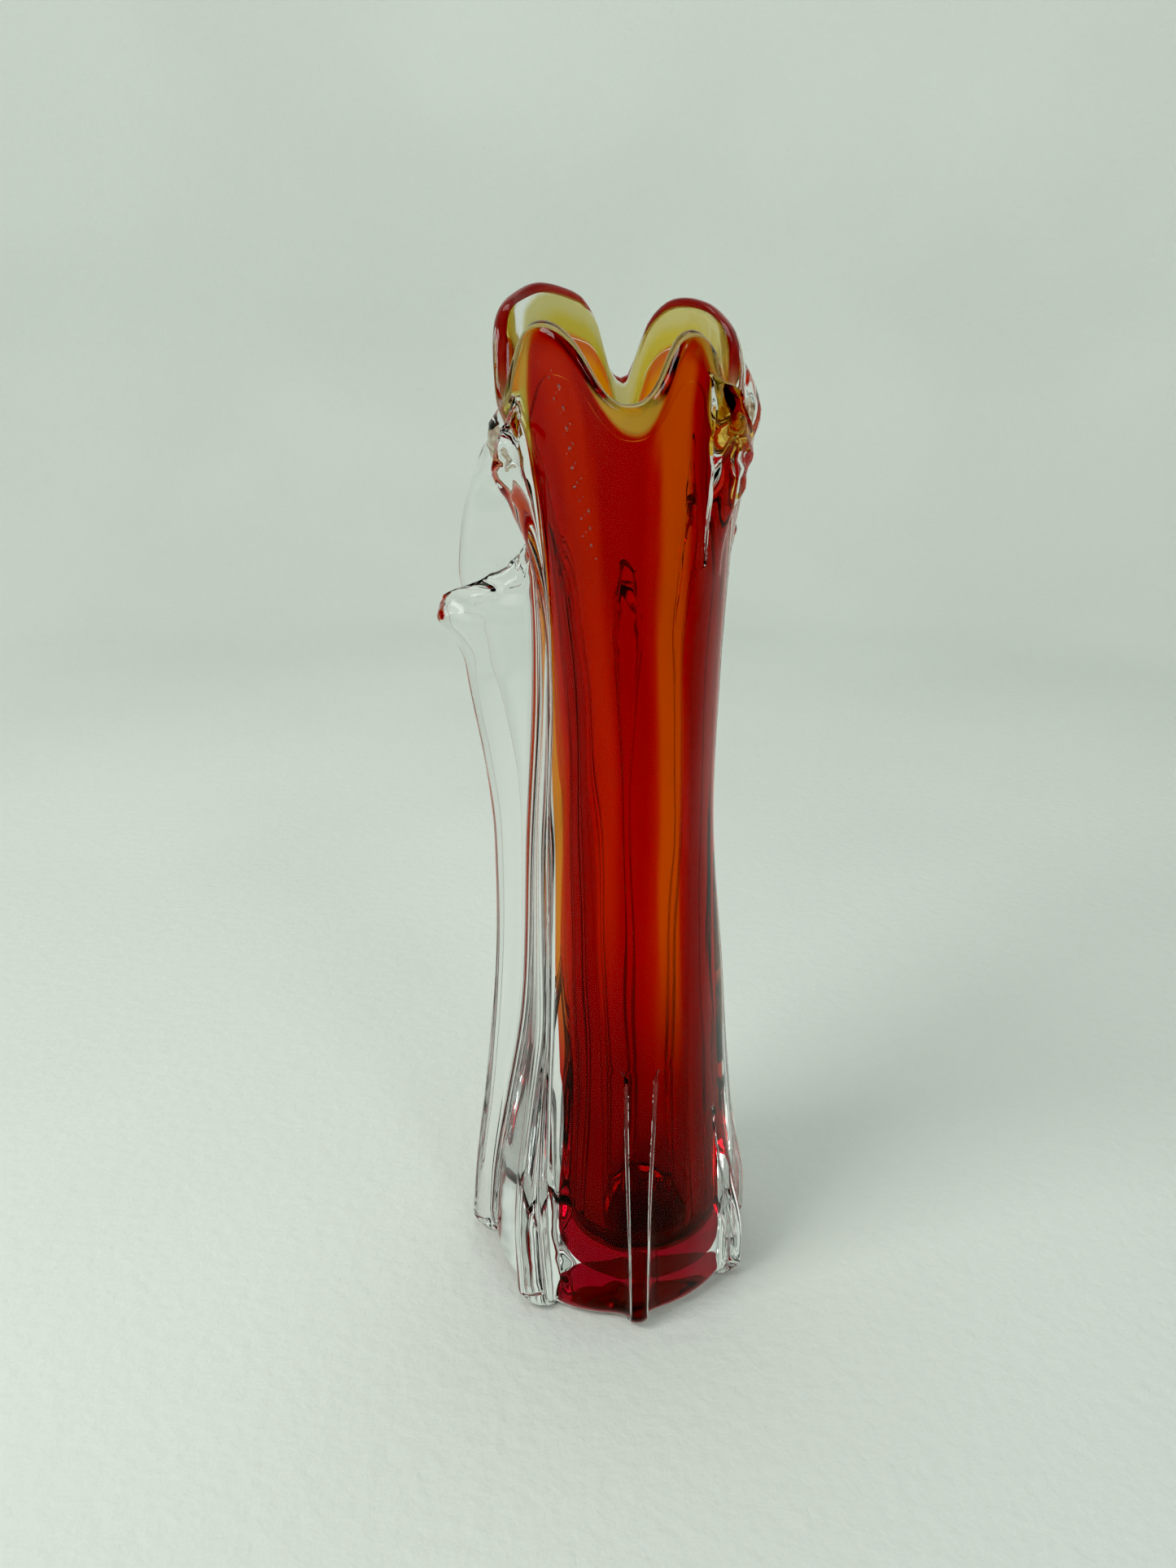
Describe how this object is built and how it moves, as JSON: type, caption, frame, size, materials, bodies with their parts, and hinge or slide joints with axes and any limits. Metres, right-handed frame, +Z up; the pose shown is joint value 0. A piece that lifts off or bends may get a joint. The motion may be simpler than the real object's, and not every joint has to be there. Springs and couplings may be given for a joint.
{
  "type": "art glass vase",
  "caption": "Tall waisted hand-blown vase: a coloured bubble in thick clear glass, with clear pulled ribs up the outside and a lobed mouth, for holding stems.",
  "frame": {"origin": "on the ground flat that the vase stands on, 4 mm behind the middle of the flat", "axes": "+Z up along the vase's height; -Y is the front, where the mouth dips lowest between its two lower lobes; +X to the right seen from the front, and the rib blade that stands out furthest is on the -X side"},
  "size_m": [0.1064, 0.1027, 0.3322],
  "materials": {
    "clear_glass": "fire-polished, clear",
    "red_glass": "fire-polished, red to orange",
    "yellow_glass": "fire-polished, yellow",
    "crimson_glass": "fire-polished, deep red"
  },
  "bodies": {
    "root": {"clear_casing": "clear_glass", "colour_bubble": "red_glass", "yellow_collar": "yellow_glass", "red_edge": "crimson_glass", "rib_front": "clear_glass", "rib_front_right": "clear_glass", "rib_right": "clear_glass", "rib_back_right": "clear_glass", "rib_back": "clear_glass", "rib_back_left": "clear_glass", "rib_left": "clear_glass", "rib_front_left": "clear_glass"}
  },
  "joints": []
}
